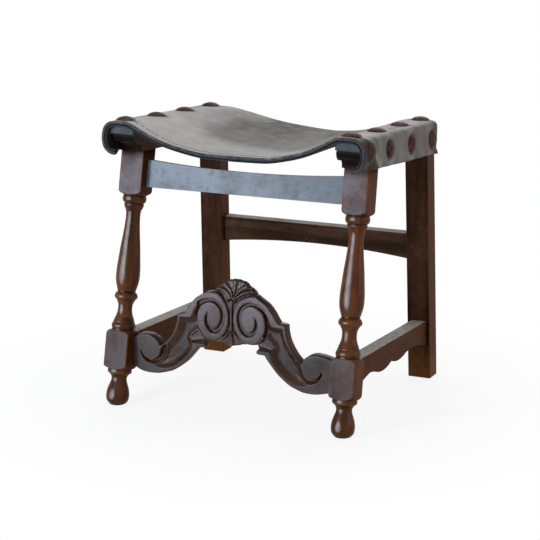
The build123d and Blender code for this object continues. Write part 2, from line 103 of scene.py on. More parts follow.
def add_mesh(name, points, faces, material):
    """A smooth mesh object that rides on the stool's body."""
    mesh = bpy.data.meshes.new(name)
    mesh.from_pydata([tuple(p) for p in to_metres(points)], [], faces)
    mesh.validate()
    mesh.shade_smooth()
    mesh.materials.append(material)
    piece = add_object(name, mesh)
    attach(piece, "root")
    return piece


def turn_outwards(piece, crease=None, cut=None):
    """Make all faces look outwards and, with a crease, edges sharp where they fold by that many degrees.

    cut is a plane, a spot and a direction: what lies past it is cut off and the cut is closed.
    """
    shape = bmesh.new()
    shape.from_mesh(piece.data)
    if cut:
        everything = shape.verts[:] + shape.edges[:] + shape.faces[:]
        found = bmesh.ops.bisect_plane(shape, geom=everything, dist=1e-7, plane_co=to_metres(cut[0]),
                                       plane_no=cut[1], clear_outer=True)
        rim = [g for g in found["geom_cut"] if isinstance(g, bmesh.types.BMEdge)]
        for face in bmesh.ops.contextual_create(shape, geom=rim)["faces"]:
            face.smooth = False
    bmesh.ops.recalc_face_normals(shape, faces=shape.faces[:])
    for edge in shape.edges if crease else ():
        edge.smooth = edge.calc_face_angle(0) < math.radians(crease)
    shape.to_mesh(piece.data)
    shape.free()


def store(piece, name, values, behind=None):
    """Keep one value for each point of a mesh, for its material to read.

    behind holds the values of the second half of the points, or one value for all of them.
    """
    values = np.ravel(values)
    if behind is not None:
        values = np.concatenate([values, np.ravel(behind) * np.ones(len(values))])
    attribute = piece.data.attributes.new(name, "FLOAT", "POINT")
    attribute.data.foreach_set("value", values.astype(np.float32))


def tube(rings, count, first=0):
    """Faces that join rings of count points, one ring after another."""
    faces = []
    for start in range(first, first + (rings - 1) * count, count):
        for k in range(count):
            a, b = start + k, start + (k + 1) % count
            faces.append((a, b, b + count, a + count))
    return faces


def ramp(value, low, high):
    """0 below low, 1 above high, smooth between."""
    t = np.clip((np.asarray(value, float) - low) / (high - low), 0, 1)
    return t * t * (3 - 2 * t)


def fall(value, low, high):
    """1 below low, 0 above high, smooth between."""
    return 1 - ramp(value, low, high)


def peak(value, centre, width):
    """1 at a centre, falling off to 0 on both sides."""
    return np.exp(-((value - centre) / width) ** 2)


def spline(points, per_span=8):
    """Smooth curve through points (Catmull-Rom), ends kept."""
    p = np.asarray(points, float)
    padded = np.vstack([2 * p[0] - p[1], p, 2 * p[-1] - p[-2]])
    t = np.linspace(0, 1, per_span, endpoint=False)[:, None]
    spans = []
    for a, b, c, d in zip(padded, padded[1:], padded[2:], padded[3:]):
        square, cube = 2 * a - 5 * b + 4 * c - d, 3 * b - a - 3 * c + d
        spans.append(0.5 * (2 * b + (c - a) * t + square * t**2 + cube * t**3))
    return np.vstack([*spans, p[-1:]])


def curve_at(table, x):
    """Value at x of a smooth curve through (x, value) pairs."""
    fine = spline(table)
    return np.interp(x, fine[:, 0], fine[:, 1])


def lengths(line):
    """Distance along a line to each of its points."""
    return np.concatenate([[0], np.cumsum(np.linalg.norm(np.diff(line, axis=0), axis=1))])


def distance_to_line(points, line, widths=None):
    """Distance of 2-D points to a polyline, and the polyline's width at the nearest place."""
    points = np.asarray(points, float)
    best = np.full(len(points), np.inf)
    width = np.zeros(len(points))
    for i in range(len(line) - 1):
        a, b = line[i], line[i + 1]
        run = b - a
        t = np.clip(((points - a) @ run) / max(run @ run, 1e-12), 0, 1)
        d = np.hypot(*(points - a - t[:, None] * run).T)
        nearer = d < best
        best[nearer] = d[nearer]
        if widths is not None:
            width[nearer] = (widths[i] + (widths[i + 1] - widths[i]) * t)[nearer]
    return (best, width) if widths is not None else best


def inside(points, polygon):
    """Which 2-D points lie inside a polygon."""
    x, y = np.asarray(points, float).T
    result = np.zeros(len(x), bool)
    for (x0, y0), (x1, y1) in zip(polygon, np.roll(polygon, -1, axis=0)):
        crosses = (y0 > y) != (y1 > y)
        with np.errstate(divide="ignore", invalid="ignore"):
            result ^= crosses & (x < (x1 - x0) * (y - y0) / (y1 - y0) + x0)
    return result


# Materials
class Nodes:
    """Short ways to add shader nodes to a tree."""

    def __init__(self, tree):
        self.tree = tree

    def connect(self, value, socket):
        """Link an output to a socket, or write a constant on it."""
        if isinstance(value, bpy.types.NodeSocket):
            self.tree.links.new(value, socket)
        elif isinstance(value, tuple) and socket.type == "RGBA":
            socket.default_value = (*value, 1)
        else:
            socket.default_value = value

    def new(self, kind):
        """A new node."""
        return self.tree.nodes.new("ShaderNode" + kind)

    def wire(self, node, *values, **named):
        """A node's outputs, with its inputs linked or written in order and by name."""
        for value, socket in zip(values, node.inputs):
            self.connect(value, socket)
        for name, value in named.items():
            self.connect(value, node.inputs[name.replace("_", " ")])
        return node.outputs

    def add(self, kind, *values, **named):
        """Outputs of a new node."""
        return self.wire(self.new(kind), *values, **named)

    def combine(self, operation, a, b=0.0):
        """Math node on two values."""
        node = self.new("Math")
        node.operation = operation
        return self.wire(node, a, b)[0]

    def times(self, a, b):
        """Product of two values."""
        return self.combine("MULTIPLY", a, b)

    def most(self, a, b):
        """The larger of two values."""
        return self.combine("MAXIMUM", a, b)

    def seen(self):
        """1 for camera rays and for the mirrored and the transmitted ones."""
        path = self.add("LightPath")
        return self.most(self.most(path["Is Camera Ray"], path["Is Glossy Ray"]), path["Is Transmission Ray"])


class Shading(Nodes):
    """Builds one material's nodes around its Principled shader, its colour layer by layer."""

    def __init__(self, name):
        self.material = bpy.data.materials.new(name)
        self.material.use_nodes = True
        super().__init__(self.material.node_tree)
        self.shader = self.tree.nodes["Principled BSDF"]
        self.place = self.coordinates()
        self.colour = (0, 0, 0)

    def coordinates(self, turn=(0, 0, 0), stretch=(1, 1, 1)):
        """Object coordinates, turned and then stretched."""
        turned = self.add("Mapping", Vector=self.add("TexCoord")["Object"], Rotation=turn)
        return self.add("Mapping", Vector=turned["Vector"], Scale=stretch)["Vector"]

    def noise(self, scale, detail, roughness, distortion=0.0, at=None):
        """Noise value from 0 to 1."""
        return self.add("TexNoise", Vector=at or self.place, Scale=scale, Detail=detail, Roughness=roughness,
                        Distortion=distortion)["Fac"]

    def cells(self, scale, feature="F1", at=None):
        """Distance value of a cell pattern."""
        node = self.new("TexVoronoi")
        node.feature = feature
        return self.wire(node, Vector=at or self.place, Scale=scale)["Distance"]

    def remap(self, value, low, high, to_low=0.0, to_high=1.0):
        """Value moved smoothly from one range to another."""
        node = self.new("MapRange")
        node.interpolation_type = "SMOOTHSTEP"
        return self.wire(node, value, low, high, to_low, to_high)["Result"]

    def mix(self, share, a, b):
        """Mix of two colours."""
        node = self.new("Mix")
        node.data_type = "RGBA"
        return self.wire(node, Factor=share, A=a, B=b)["Result"]

    def layer(self, share, colour):
        """Lay a share of a colour over the colour so far."""
        self.colour = self.mix(share, self.colour, colour)

    def facing(self, axis):
        """How far the surface faces along one of the object's axes, from -1 to 1."""
        return self.add("SeparateXYZ", self.add("TexCoord")["Normal"])[axis]

    def towards(self, direction, low, high, share):
        """How nearly the surface faces one of the object's directions, from 0 to share."""
        node = self.new("VectorMath")
        node.operation = "DOT_PRODUCT"
        likeness = self.wire(node, self.add("TexCoord")["Normal"], direction)["Value"]
        return self.remap(likeness, low, high, 0, share)

    def stored(self, name):
        """Value stored on the mesh's points."""
        node = self.new("Attribute")
        node.attribute_name = name
        return node.outputs["Fac"]

    def bumps(self, *layers):
        """Bumps on top of one another, each a height, a strength and a distance."""
        below = {}
        for height, strength, distance in layers:
            bump = self.add("Bump", Height=height, Strength=strength, Distance=distance, **below)
            below = {"Normal": bump["Normal"]}
        return below["Normal"]

    def finish(self, roughness, normal, specular, **constants):
        """Wire the shader and set its constant sockets."""
        self.wire(self.shader, Base_Color=self.colour, Roughness=roughness, Normal=normal,
                  Specular_IOR_Level=specular, **constants)
        return self.material


def scaled(colour, factor):
    """A colour times one factor, or times one for each channel."""
    return tuple(np.multiply(colour, factor))


def oak(name, grain, dark, middle, front=(0.055, 0.050, 0.058), front_share=0.5, top=(0.27, 0.255, 0.24),
        top_share=0.75, warm=(0.11, 0.035, 0.010), gloss=(0.34, 0.5), specular=0.10, coat=0.0, shaped=False,
        foot=False, capped=False, scratched=False, rising=None, fading=None, wear_and_glint_tint=(0.030, 0.018, 0.011)):
    """Stained and waxed oak with its grain along one direction, lighter on its edges, orange-brown low down on
    feet.

    dark and middle colour the grain; front, top and warm are painted light on the sides towards the window, the
    sky
    and the lamp on the right: a painted bluish sheen, a painted pale top and a painted warm side. shaped wood
    stores flats, lighter edges (worn and a painted highlight) and darker hollows (grime and painted shade) on its
    points.
    rising and fading give the painted sheen on the front a second colour, from one height or place across to
    another.
    """
    s = Shading(name)
    turn = Vector(grain).rotation_difference(Vector((0, 0, 1))).to_euler()
    across, _, height = s.add("SeparateXYZ", s.place)
    along = s.coordinates(turn, stretch=(1, 1, 0.06))
    figure = s.noise(48, 5, 0.6, 0.5, at=along)
    fine = s.noise(420, 4, 0.6, at=along)
    pores = s.remap(s.noise(1300, 2, 0.5, at=s.coordinates(turn, stretch=(1, 1, 0.035))), 0.60, 0.72)
    cloud = s.noise(19, 4, 0.6)
    grime = s.noise(75, 5, 0.65)
    figured = s.times(s.remap(figure, 0.35, 0.66), s.remap(cloud, 0.30, 0.62, 0.55, 1.0))
    s.colour = s.mix(figured, dark, middle)
    s.layer(s.remap(fine, 0.35, 0.75, 0.0, 0.45), scaled(middle, 0.4))
    # painted warm light on the sides that face the lamp on the right
    s.layer(s.times(s.remap(s.facing("X"), 0.35, 0.95, 0, 0.75), s.remap(cloud, 0.3, 0.7, 0.35, 1.0)), warm)

    # painted bluish sheen, standing in for the window's reflection, on what faces the window
    front_amount = s.remap(s.facing("Y"), -0.55, -0.97, 0, front_share)
    front_amount = s.times(front_amount, s.remap(cloud, 0.32, 0.58, 0.45, 1.0))
    if shaped:
        front_amount = s.times(front_amount, s.stored("flat"))
        if not coat:
            # painted highlight where the carving's hollows face the window
            hollow_glint = s.towards((-0.05, -0.99, 0.1), 0.90, 0.995, 0.62)
            front_amount = s.most(front_amount, s.times(hollow_glint, s.remap(grime, 0.3, 0.6, 0.5, 1.0)))
    if capped:
        front_amount = s.times(front_amount, s.remap(height, 0.4305, 0.4335))
    # the painted sheen made brighter from one height, or one place across, to another
    if rising:
        front = s.mix(s.remap(height, *rising[:2]), front, scaled(front, rising[2]))
    if fading:
        front = s.mix(s.remap(across, *fading[:2]), front, scaled(front, fading[2]))
    s.layer(front_amount, front)
    # painted pale light on what faces up, towards the sky
    facing_up = s.remap(s.facing("Z"), 0.86, 0.985, 0, top_share)
    s.layer(s.times(facing_up, s.remap(grime, 0.25, 0.6, 0.7, 1.0)), top)

    # lighter edges, partly worn and partly a painted highlight; darker hollows, partly grime and partly painted
    # shade
    s.layer(s.remap(grime, 0.56, 0.76, 0, 0.5), scaled(middle, 1.7))
    if shaped:
        wear_and_glint, dirt_and_shade = s.stored("wear_and_glint"), s.stored("dirt_and_shade")
    else:
        x, y, z = (s.combine("ABSOLUTE", s.facing(axis)) for axis in "XYZ")
        wear_and_glint, dirt_and_shade = s.remap(s.most(s.most(x, y), z), 0.955, 0.86), s.remap(grime, 0.46, 0.34, 0.0, 0.3)
    s.layer(s.times(wear_and_glint, s.remap(grime, 0.35, 0.62, 0.1, 0.6)), tuple(np.multiply(middle, 1.2) + wear_and_glint_tint))
    s.layer(s.times(dirt_and_shade, 0.95), scaled(dark, 0.3))
    if coat:
        # painted highlight: a broad pale streak down the front of the turned parts
        highlight_streak = s.towards((-0.06, -0.978, 0.2), 0.95, 1.0, 0.64)
        highlight_streak = s.times(highlight_streak, s.remap(s.stored("flat"), 0.5, 0.0))
        s.layer(s.times(highlight_streak, s.remap(grime, 0.3, 0.6, 0.6, 1.0)), (0.35, 0.33, 0.35))
    # orange-brown towards the floor on the feet
    if foot:
        low = s.remap(s.combine("ADD", height, s.times(grime, 0.11)), 0.120, 0.045)
        s.layer(s.times(low, 0.7), (0.140, 0.050, 0.013))
    if scratched:
        nicks = s.cells(17, "DISTANCE_TO_EDGE", at=s.coordinates((0, 0.5, 0), stretch=(1, 1, 2.2)))
        nicks = s.times(s.remap(nicks, 0.016, 0.004), s.remap(cloud, 0.50, 0.64))
        s.layer(s.times(nicks, 0.28), (0.36, 0.38, 0.42))
    s.layer(s.times(pores, 0.22 if scratched else 0.55), scaled(dark, 0.3))
    roughness = s.combine("ADD", s.remap(cloud, 0.3, 0.7, *gloss), s.times(fine, 0.06))
    normal = s.bumps((fine, 0.35, 0.00025), (s.combine("SUBTRACT", grime, pores), 0.30, 0.0004))
    if coat:
        coat = s.remap(s.stored("flat"), 0.0, 0.6, coat, 0.0)
    return s.finish(roughness, normal, specular, Coat_Weight=coat, Coat_Roughness=0.26)


def hide():
    """Dark saddle leather: mottled, finely creased, black on its cut edges and brown underneath."""
    s = Shading("saddle_leather")
    stains = s.noise(8, 4, 0.55, 0.3)
    mottle = s.noise(55, 5, 0.6)
    grain = s.cells(900)
    creases = s.cells(150, "DISTANCE_TO_EDGE")
    fibre = s.noise(330, 4, 0.6)
    s.colour = s.mix(s.remap(stains, 0.30, 0.70), (0.285, 0.275, 0.265), (0.335, 0.325, 0.315))
    s.layer(s.remap(mottle, 0.35, 0.75, 0, 0.25), (0.170, 0.160, 0.150))
    s.layer(s.remap(fibre, 0.50, 0.75, 0, 0.2), (0.36, 0.35, 0.34))
    # darker where hands and sitters wore it, and where painted shade falls
    s.layer(s.times(s.stored("polish_and_painted_light"), s.remap(stains, 0.25, 0.75, 0.85, 1.15)), (0.030, 0.027, 0.025))
    # paler along the front hem: painted sheen
    s.layer(s.times(s.stored("hem"), s.remap(mottle, 0.3, 0.7, 0.6, 0.95)), (0.300, 0.294, 0.288))
    s.layer(s.times(s.stored("band"), 0.93), (0.026, 0.012, 0.008))
    s.layer(s.stored("under"), (0.040, 0.018, 0.010))
    # painted shade round the nails and in the creases beside them
    s.layer(s.times(s.stored("shade"), 0.8), (0.014, 0.010, 0.009))
    cut_edge = s.mix(s.remap(fibre, 0.40, 0.66), (0.026, 0.030, 0.035), (0.056, 0.063, 0.072))
    s.layer(s.times(s.stored("rim"), s.remap(mottle, 0.7, 0.45, 0.6, 1.0)), cut_edge)
    normal = s.bumps((grain, 0.25, 0.0003), (s.remap(creases, 0.0, 0.10), 0.10, 0.0003),
                     (mottle, 0.22, 0.0010))
    return s.finish(s.remap(mottle, 0.3, 0.75, 0.40, 0.54), normal, 0.05)


def lining_hide():
    """Coarser leather under the seat, darker along its cut edges."""
    s = Shading("lining_leather")
    nap = s.noise(380, 5, 0.7)
    stains = s.noise(14, 4, 0.6)
    s.colour = s.mix(s.remap(stains, 0.3, 0.7), (0.016, 0.008, 0.005), (0.040, 0.019, 0.011))
    s.layer(s.remap(nap, 0.4, 0.8, 0, 0.5), (0.060, 0.032, 0.020))
    cut_edge = s.mix(s.remap(nap, 0.4, 0.62), (0.026, 0.029, 0.033), (0.062, 0.068, 0.076))
    s.layer(s.stored("rim"), cut_edge)
    return s.finish(s.remap(nap, 0.3, 0.8, 0.6, 0.85), s.bumps((nap, 0.5, 0.0006)), 0.08)


def waxed_thread():
    """Blackened waxed thread with its twist."""
    s = Shading("waxed_thread")
    twist = s.noise(1800, 2, 0.5, at=s.coordinates((0, 0, 0.6), stretch=(1, 0.3, 1)))
    s.colour = s.mix(s.remap(twist, 0.35, 0.65), (0.010, 0.007, 0.006), (0.030, 0.022, 0.018))
    return s.finish(s.remap(twist, 0.3, 0.7, 0.5, 0.7), s.bumps((twist, 0.5, 0.0002)), 0.2)


def antique_brass():
    """Bronzed nail heads: brown patina, brighter on the rim of each head, partly rubbed and partly a painted
    glint.
    """
    s = Shading("bronzed_nails")
    patina = s.noise(130, 5, 0.65)
    specks = s.noise(520, 3, 0.6)
    rim_wear_and_glint = s.remap(s.add("NewGeometry")["Pointiness"], 0.52, 0.60)
    s.colour = s.mix(s.remap(patina, 0.35, 0.7), (0.018, 0.008, 0.006), (0.092, 0.041, 0.029))
    s.layer(s.remap(specks, 0.55, 0.75, 0, 0.5), (0.035, 0.018, 0.014))
    s.layer(s.times(rim_wear_and_glint, 0.4), (0.20, 0.13, 0.10))
    normal = s.bumps((patina, 0.35, 0.0008), (specks, 0.25, 0.0003))
    return s.finish(s.remap(patina, 0.3, 0.7, 0.36, 0.55), normal, 0.05, Metallic=0.12)


ACROSS, BACK, UP = (1, 0, 0), (0, 1, 0), (0, 0, 1)
turned_oak = oak("turned_oak", LEG_AXIS, (0.014, 0.005, 0.002), (0.120, 0.038, 0.010), (0.102, 0.091, 0.100),
                 front_share=0.85, top_share=0.2, warm=(0.085, 0.024, 0.005), coat=0.18, specular=0.03,
                 shaped=True, rising=(0.28, 0.34, (1.75, 1.85, 1.95)))
carved_oak = oak("carved_oak", ACROSS, (0.016, 0.006, 0.003), (0.066, 0.028, 0.014), (0.062, 0.058, 0.063),
                 front_share=0.85, top_share=0.2, gloss=(0.22, 0.34), specular=0.18, shaped=True,
                 rising=(0.085, 0.185, (2.45, 2.38, 2.5)), wear_and_glint_tint=(0.060, 0.045, 0.040))
apron_oak = oak("apron_oak", ACROSS, (0.045, 0.036, 0.036), (0.110, 0.095, 0.092), (0.215, 0.262, 0.328),
                front_share=0.95, top_share=0.6, gloss=(0.30, 0.42), specular=0.14, scratched=True,
                fading=(-0.05, 0.15, 0.66), wear_and_glint_tint=(0.10, 0.10, 0.10))
post_oak = oak("post_oak", UP, (0.014, 0.005, 0.003), (0.062, 0.027, 0.014), front_share=0.0,
               warm=(0.100, 0.034, 0.012), specular=0.02, foot=True)
rear_oak = oak("rear_rail_oak", ACROSS, (0.022, 0.010, 0.006), (0.082, 0.043, 0.026), front_share=0.0,
               specular=0.03)
side_oak = oak("side_oak", BACK, (0.018, 0.005, 0.002), (0.066, 0.022, 0.007), warm=(0.066, 0.018, 0.004),
               top=(0.46, 0.44, 0.42), specular=0.02)
rail_oak = oak("rail_oak", BACK, (0.003, 0.002, 0.001), (0.008, 0.005, 0.003), (0.098, 0.115, 0.138),
               front_share=0.85, specular=0.04, capped=True, wear_and_glint_tint=(0.008, 0.007, 0.006))
leather, lining, brass, thread = hide(), lining_hide(), antique_brass(), waxed_thread()
NODE_MATERIALS = {"front_apron": apron_oak, "rear_rail": rear_oak}
for hand, _ in HANDS:
    NODE_MATERIALS[f"{hand}_rear_leg"] = post_oak
    NODE_MATERIALS[f"{hand}_side_stretcher"] = side_oak
    NODE_MATERIALS[f"{hand}_top_rail"] = rail_oak

# Turned front legs
FOOT_CURVES = [
    [(-2, 10.5), (5, 16.9), (14, 18.5), (22.5, 17.5), (30, 15.2), (36.5, 12.9), (42, 12.3), (46.5, 14.2),
     (49.5, 17.2)],
    [(50.2, 18.8), (53.5, 19.4), (56.8, 18.9)],
]
COLUMN_CURVES = [
    [(119.5, 18.0), (121.5, 18.2), (124.5, 19.1), (127.5, 19.1), (131.5, 17.4)],
    [(132, 16.6), (133.8, 16.9), (135.5, 15.9)], [(136, 15.0), (137.5, 16), (139, 14.6)],
    [(139, 14.6), (147, 12.1), (155, 11.3), (162, 12.2), (169, 15.6)],
    [(169.5, 16.9), (171.5, 18.2), (174.5, 18.4), (178, 17), (180.5, 14.6)],
    [(181.5, 14.2), (186, 15.6), (195, 18), (204, 19.05), (217, 18.9), (230, 17.9), (252, 15.9), (275, 13.3),
     (291, 11.9), (303, 11.4), (311, 12.3), (316.5, 14.9)],
    [(317, 15.0), (319.8, 15.9), (322.6, 15.0)],
    [(323.4, 16.2), (326, 18.3), (329.3, 19), (332.5, 18.7), (335, 17.8)],
]
LOWER_BLOCK = (57.0, 119.5)
UPPER_BLOCK_BOTTOM = 336.5
LEG_TOP = 425.0
BLOCK_REACH = 30.0  # past the blocks' corners
# Angles round a quarter of a leg, closer at the blocks' corners
QUARTER = [0, 6, 12, 18, 24, 30, 36, 40, 42.5, 43.4, 44.2, 45, 45.8, 46.6, 47.5, 50, 54, 60, 66, 72, 78, 84]


def block_end(height, rise, run):
    """How a block's corners come out from the turned part at its end, at a height, towards its middle."""
    return spline(sorted([(height, 19.5), (height + rise, 25.2), (height + run, BLOCK_REACH)]), 9)


def leg_profile():
    """Height and turned radius up a front leg; the blocks' corners stand inside a large radius."""
    parts = [spline(curve, 5) for curve in FOOT_CURVES]
    parts += [block_end(LOWER_BLOCK[0], 2.6, 9), block_end(LOWER_BLOCK[1], -2.6, -9)]
    parts += [spline(curve, 6) for curve in COLUMN_CURVES]
    parts += [block_end(UPPER_BLOCK_BOTTOM, 3, 9), [(LEG_TOP - 40, BLOCK_REACH), (LEG_TOP, BLOCK_REACH)]]
    return np.vstack(parts)


def block_radius(angle):
    """Radius of the square block's section, with its worn corners, at an angle."""
    folded = np.abs((angle + math.pi / 4) % (math.pi / 2) - math.pi / 4)
    core = BLOCK_HALF - BLOCK_EDGE
    flat = BLOCK_HALF / np.cos(folded)
    reach = core * (np.cos(folded) + np.sin(folded))
    corner = reach + np.sqrt(np.maximum(BLOCK_EDGE**2 - core**2 * (1 - np.sin(2 * folded)), 0))
    return np.where(BLOCK_HALF * np.tan(folded) <= core, flat, corner)


def front_leg(hand, side, material):
    """One turned leg, cut flat at the floor and under its rail."""
    angles = np.concatenate([np.radians(QUARTER) + k * math.pi / 2 for k in range(4)])
    profile = leg_profile()
    height, turned = profile.T
    square = block_radius(angles)
    radius = np.minimum(turned[:, None], square)
    across = np.array([1, 0, FRONT_SPLAY]) / math.hypot(1, FRONT_SPLAY)
    along = np.array(LEG_AXIS) / np.linalg.norm(LEG_AXIS)
    depth = np.cross(along, across)
    rings = (np.array([FRONT_HALF_WIDTH, 0, 0]) + height[:, None, None] * along
             + radius[:, :, None] * (np.cos(angles)[:, None] * across + np.sin(angles)[:, None] * depth))
    points = rings.reshape(-1, 3) * (side, 1, 1)
    count, size = len(angles), len(points)
    faces = tube(len(profile), count) + [tuple(range(count))[::-1], tuple(range(size - count, size))]
    if side < 0:
        faces = [face[::-1] for face in faces]
    piece = add_mesh(f"{hand}_turned_leg", points, faces, material)

    # how far each ring stands out from the turning round about it
    heights = np.arange(-10, 430, 0.5)
    smoothed = np.minimum(np.interp(heights, height, turned), BLOCK_HALF)
    proud = smoothed - np.convolve(smoothed, np.ones(21) / 21, "same")
    proud = np.interp(height, heights, proud)[:, None]
    on_block = ramp(turned[:, None] - square, -0.3, 0.3)
    corner = ramp(square, 26.4, 27.2)
    # flat marks the blocks' faces, which take the painted sheen; ridges lighter, partly worn and partly a painted
    # highlight; grooves darker, partly grime and partly painted shade
    store(piece, "flat", on_block)
    store(piece, "wear_and_glint", on_block * corner + (1 - on_block) * ramp(proud, 0.5, 1.3))
    store(piece, "dirt_and_shade", (1 - on_block) * ramp(-proud, 0.35, 1.3))
    turn_outwards(piece, cut=((0, 0, 0), (0, 0, -1)))
    turn_outwards(piece, cut=((0, RAIL_FRONT_Y, RAIL_TOP_FRONT - RAIL_HEIGHT), RAIL_UP))
    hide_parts(f"{hand}_front_leg")


for hand, side in HANDS:
    front_leg(hand, side, turned_oak)

# Carved front stretcher: right half of its outline, X from the middle and Z, in runs from corner to corner.
# Each run starts where the one before ends.
CARVING_TOP = (0, 220)
CARVING_OUTLINE = [
    [(5, 219.9), (9, 218.5)], [(14, 217.8), (19, 215), (22, 210.5)],
    [(27, 207.8), (32, 203.5), (36, 197.5)],
    [(43, 195.5), (50, 192), (61, 184.5), (70, 174), (77, 163), (80.5, 158)],
    [(86, 157.3), (91, 156.5)], [(92.5, 155), (93, 153)],
    [(93.5, 146), (97, 132), (103, 120), (110, 110.5), (118, 103), (123, 100)],
    [(126, 106), (131, 111), (140, 115), (150, 116), (160, 114.5), (170, 111), (174.5, 110)],
    [(174.5, 86), (174.5, 62)],
    [(166, 58.5), (155, 55), (143, 53.3), (131, 53.5), (122, 54.8), (110, 58.5), (100, 62.5),
     (90, 69.5), (80, 77.8), (70, 89), (61, 100), (57.5, 105)],
    [(52, 105.2), (47, 105.5)], [(44, 107), (44, 110)],
    [(46, 114), (46, 118), (45, 120.5)],
    [(35, 119.5), (22, 118.3), (14, 115.8), (7, 114.3), (0, 113.5)],
]
SCROLL = [
    (36, 196), (27, 195), (17, 189), (9, 178), (5, 165), (5, 151), (9, 138), (17, 126), (27, 120.5), (36, 120),
    (45, 123), (52, 131), (57, 142), (58, 152), (57, 162), (53, 171), (46, 177), (40, 180),
]
SPIRAL = [
    (40.5, 164), (43, 156), (42.5, 147), (38, 138.5), (30.5, 134.5), (22.5, 138), (16.5, 147), (14, 159),
    (16.5, 171), (24, 180), (34, 183.6), (45, 182), (55, 176.5), (62, 168),
]
SPIRAL_WIDTHS = [0.6, 1.7, 2.3, 2.9, 3.8, 4.0, 3.7, 3.5, 3.3, 3.1, 2.9, 3.1, 3.8, 5.0]
UPPER_RIM = [(40, 185.5), (50, 181.5), (58, 175.5), (64, 167), (68, 158), (71, 153.5), (80, 152.3), (89, 151),
             (90.7, 143), (93.7, 133), (99, 122.5), (105.5, 113), (112.5, 105.8), (119.5, 99.5)]
EYE = [(119.5, 99.5), (122.5, 92), (124.5, 85), (130, 78.5), (138, 75.5), (146, 77.5), (152, 82.5),
       (156.5, 91.5)]
LOWER_RIM = [(157.8, 91.5), (157.5, 85), (153, 76), (145, 69), (135, 65), (125, 63), (115, 63.5), (105, 66.5),
             (93, 73.5), (81, 84), (71, 95.5), (64.5, 106)]
LEAF_END = [(64.5, 106), (68, 113), (70, 119.5), (63, 127), (57, 133)]
# Ribs of the shell and leaves below the stem: X, Z and half width along each
RIBS = [
    [(0, 193, 0.8), (0, 200, 2.0), (0, 208, 3.4), (0, 222, 5.4)],
    [(1.4, 191, 1.0), (5.8, 199.5, 2.5), (12, 206, 3.8), (20, 211, 5.4), (28, 216, 6.5)],
    [(2.8, 186, 1.3), (7.2, 192.6, 2.4), (13.5, 197.8, 2.9), (22, 201.2, 3.1), (34, 202.4, 3.4),
     (44, 201.5, 3.6)],
]
LEAVES = [
    [(2.5, 138, 0.9), (7, 131.5, 1.7), (14, 125, 2.3), (24, 119.5, 2.4)],
    [(0, 133, 0.8), (0, 125, 2.6), (0, 112, 5.5)],
]
SHELL_REGION = np.array([(0, 184), (4, 184), (9, 178.5), (17, 189.5), (27, 195.4), (36, 196.3), (36.5, 230),
                         (-1, 230)])
# Outlines of the tongue where the lower rim ends, and of the facet that falls away above it
FACET = np.array([(45, 120.5), (50, 125), (57, 133), (73, 120), (66, 112), (44, 112)])
TONGUE = np.array([(43, 112), (65.5, 112), (64.5, 104), (57, 100), (43, 104)])
COVE_DEPTH = 8.5
COVE_REACH = 14.0
GROOVE_DEPTH = 5.5
GROUND_DEPTH = 5.0
RIB_DEPTH = 3.4
CARVING_THICKNESS = 18.0
CARVING_END = 174.5
CARVING_STEP = 0.85


def drift(x, z):
    """How far the hand carving sits left of its mirrored drawing."""
    x = np.abs(x)
    shift = -(1.5 + 3.0 * ramp(x, 100, 138)) * fall(x, 152, CARVING_END)
    shift = shift * fall(z - 0.25 * x, 178, 194)
    return shift + 3.2 * ramp(z, 186, 199) * fall(x, 37, 47)


def ribs_height(spots, lines):
    """Rounded height, up to 1, of ribs along lines of X, Z and half width."""
    height = np.zeros(len(spots))
    for line in lines:
        fine = spline(line, 6)
        off, half = distance_to_line(spots, fine[:, :2], fine[:, 2])
        height = np.maximum(height, np.sqrt(np.clip(1 - (off / np.maximum(half, 0.3)) ** 2, 0, 1)))
    return height


